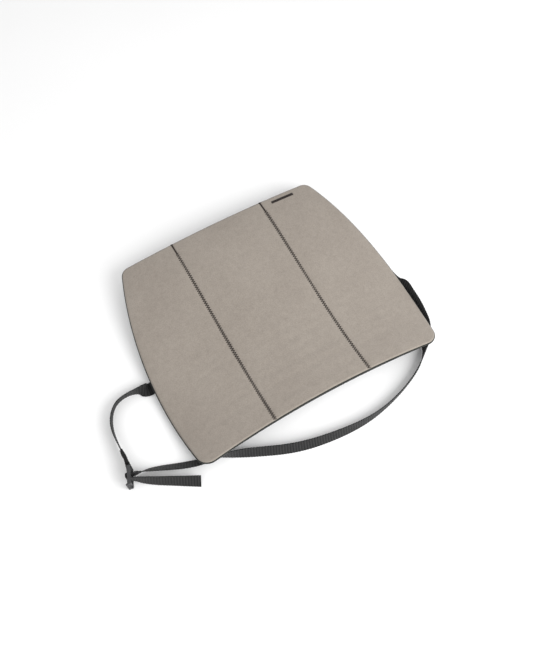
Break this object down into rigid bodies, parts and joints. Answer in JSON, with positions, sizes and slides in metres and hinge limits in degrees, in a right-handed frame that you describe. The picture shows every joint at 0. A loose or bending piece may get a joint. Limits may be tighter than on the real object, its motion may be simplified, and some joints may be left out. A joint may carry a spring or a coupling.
{
  "type": "chair back support",
  "caption": "Slim padded back support panel, saddle-curved, with an adjustable webbing strap and a ladder lock for tying it to a chair back.",
  "frame": {"origin": "on the surface the part lies on, below the middle of the panel's box without the strap", "axes": "+X to the panel's right seen from the front, +Y to its top edge, +Z out of the front face, with the part lying on its back"},
  "size_m": [0.4888, 0.3683, 0.044],
  "materials": {
    "front_fabric": "matte brushed knit, warm grey",
    "seam_thread": "matte thread",
    "back_fabric": "matte black knit",
    "foam": "open foam",
    "plate_plastic": "matte",
    "binding": "matte tape",
    "webbing": "ribbed webbing, dark grey",
    "black_thread": "matte thread",
    "lock_plastic": "moulded, satin"
  },
  "bodies": {
    "panel": {"front_panel_left": "front_fabric", "front_panel_centre": "front_fabric", "front_panel_right": "front_fabric", "seam_stitch_left": "seam_thread", "seam_stitch_right": "seam_thread", "front_tag": "seam_thread", "back_cover": "back_fabric", "foam_core": "foam", "support_plate": "plate_plastic", "edge_binding": "binding", "left_anchor_tab": "webbing", "right_anchor_tab": "webbing", "left_anchor_stitch": "black_thread", "right_anchor_stitch": "black_thread"},
    "strap": {"left_strap": "webbing", "left_strap_loop": "webbing", "loop_bartack": "black_thread", "right_strap": "webbing"},
    "buckle": {"ladder_lock": "lock_plastic", "strap_wrap": "webbing", "strap_lead": "webbing", "strap_tail": "webbing"}
  },
  "joints": [
    {"name": "strap_swing", "type": "hinge", "parent": "panel", "child": "strap", "pos_m": [0, -0.0237, 0], "axis": [1, 0, 0], "range_deg": [0, 95]},
    {"name": "lock_swivel", "type": "hinge", "parent": "strap", "child": "buckle", "pos_m": [-0.2714, -0.1072, 0.013], "axis": [0, 0, 1], "range_deg": [-35, 0]}
  ]
}
